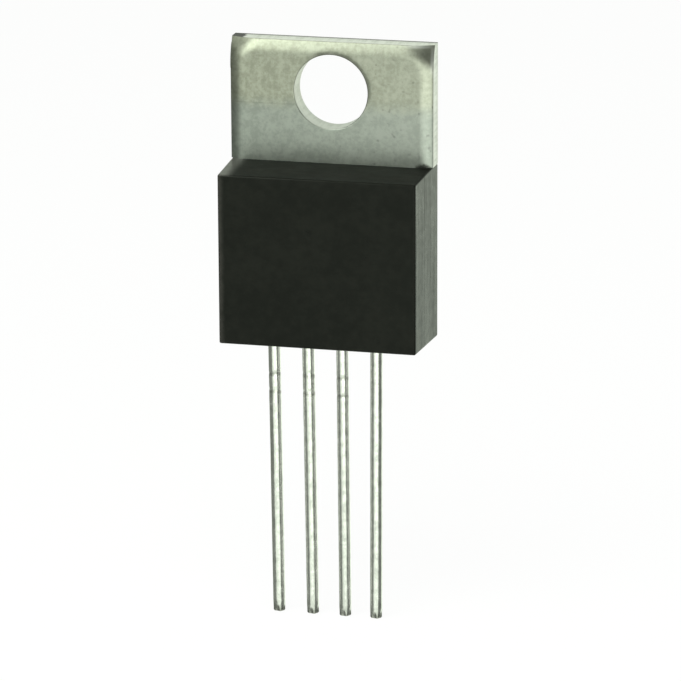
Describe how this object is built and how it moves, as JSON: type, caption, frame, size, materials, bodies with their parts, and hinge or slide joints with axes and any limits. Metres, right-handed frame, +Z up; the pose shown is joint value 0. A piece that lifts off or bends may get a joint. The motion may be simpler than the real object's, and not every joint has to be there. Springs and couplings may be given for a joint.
{
  "type": "power mosfet",
  "caption": "Power transistor for screw-down cooling: black moulded block on a plated copper tab with a round screw hole, and straight round wire leads in a row.",
  "frame": {"origin": "on the axis of the tab's screw hole, at the flat back face that goes against the heat sink", "axes": "+Z up towards the tab's top edge with the leads hanging to -Z, -Y out of the front face, +X to the right seen from the front"},
  "size_m": [0.0105, 0.0044, 0.0298],
  "materials": {
    "plated_copper": "matt nickel plate on copper, mottled",
    "black_epoxy": "fine matt moulded epoxy",
    "tinned_wire": "bright tinned wire",
    "grey_silicon": "polished",
    "soft_solder": "satin",
    "bond_aluminium": "drawn wire"
  },
  "bodies": {
    "root": {"header": "plated_copper", "moulded_body": "black_epoxy", "drain_lead": "tinned_wire", "source_lead": "tinned_wire", "sense_lead": "tinned_wire", "gate_lead": "tinned_wire", "silicon_die": "grey_silicon", "die_solder": "soft_solder", "source_bond_wires": "bond_aluminium", "sense_bond_wire": "bond_aluminium", "gate_bond_wire": "bond_aluminium", "drain_solder": "soft_solder"}
  },
  "joints": []
}
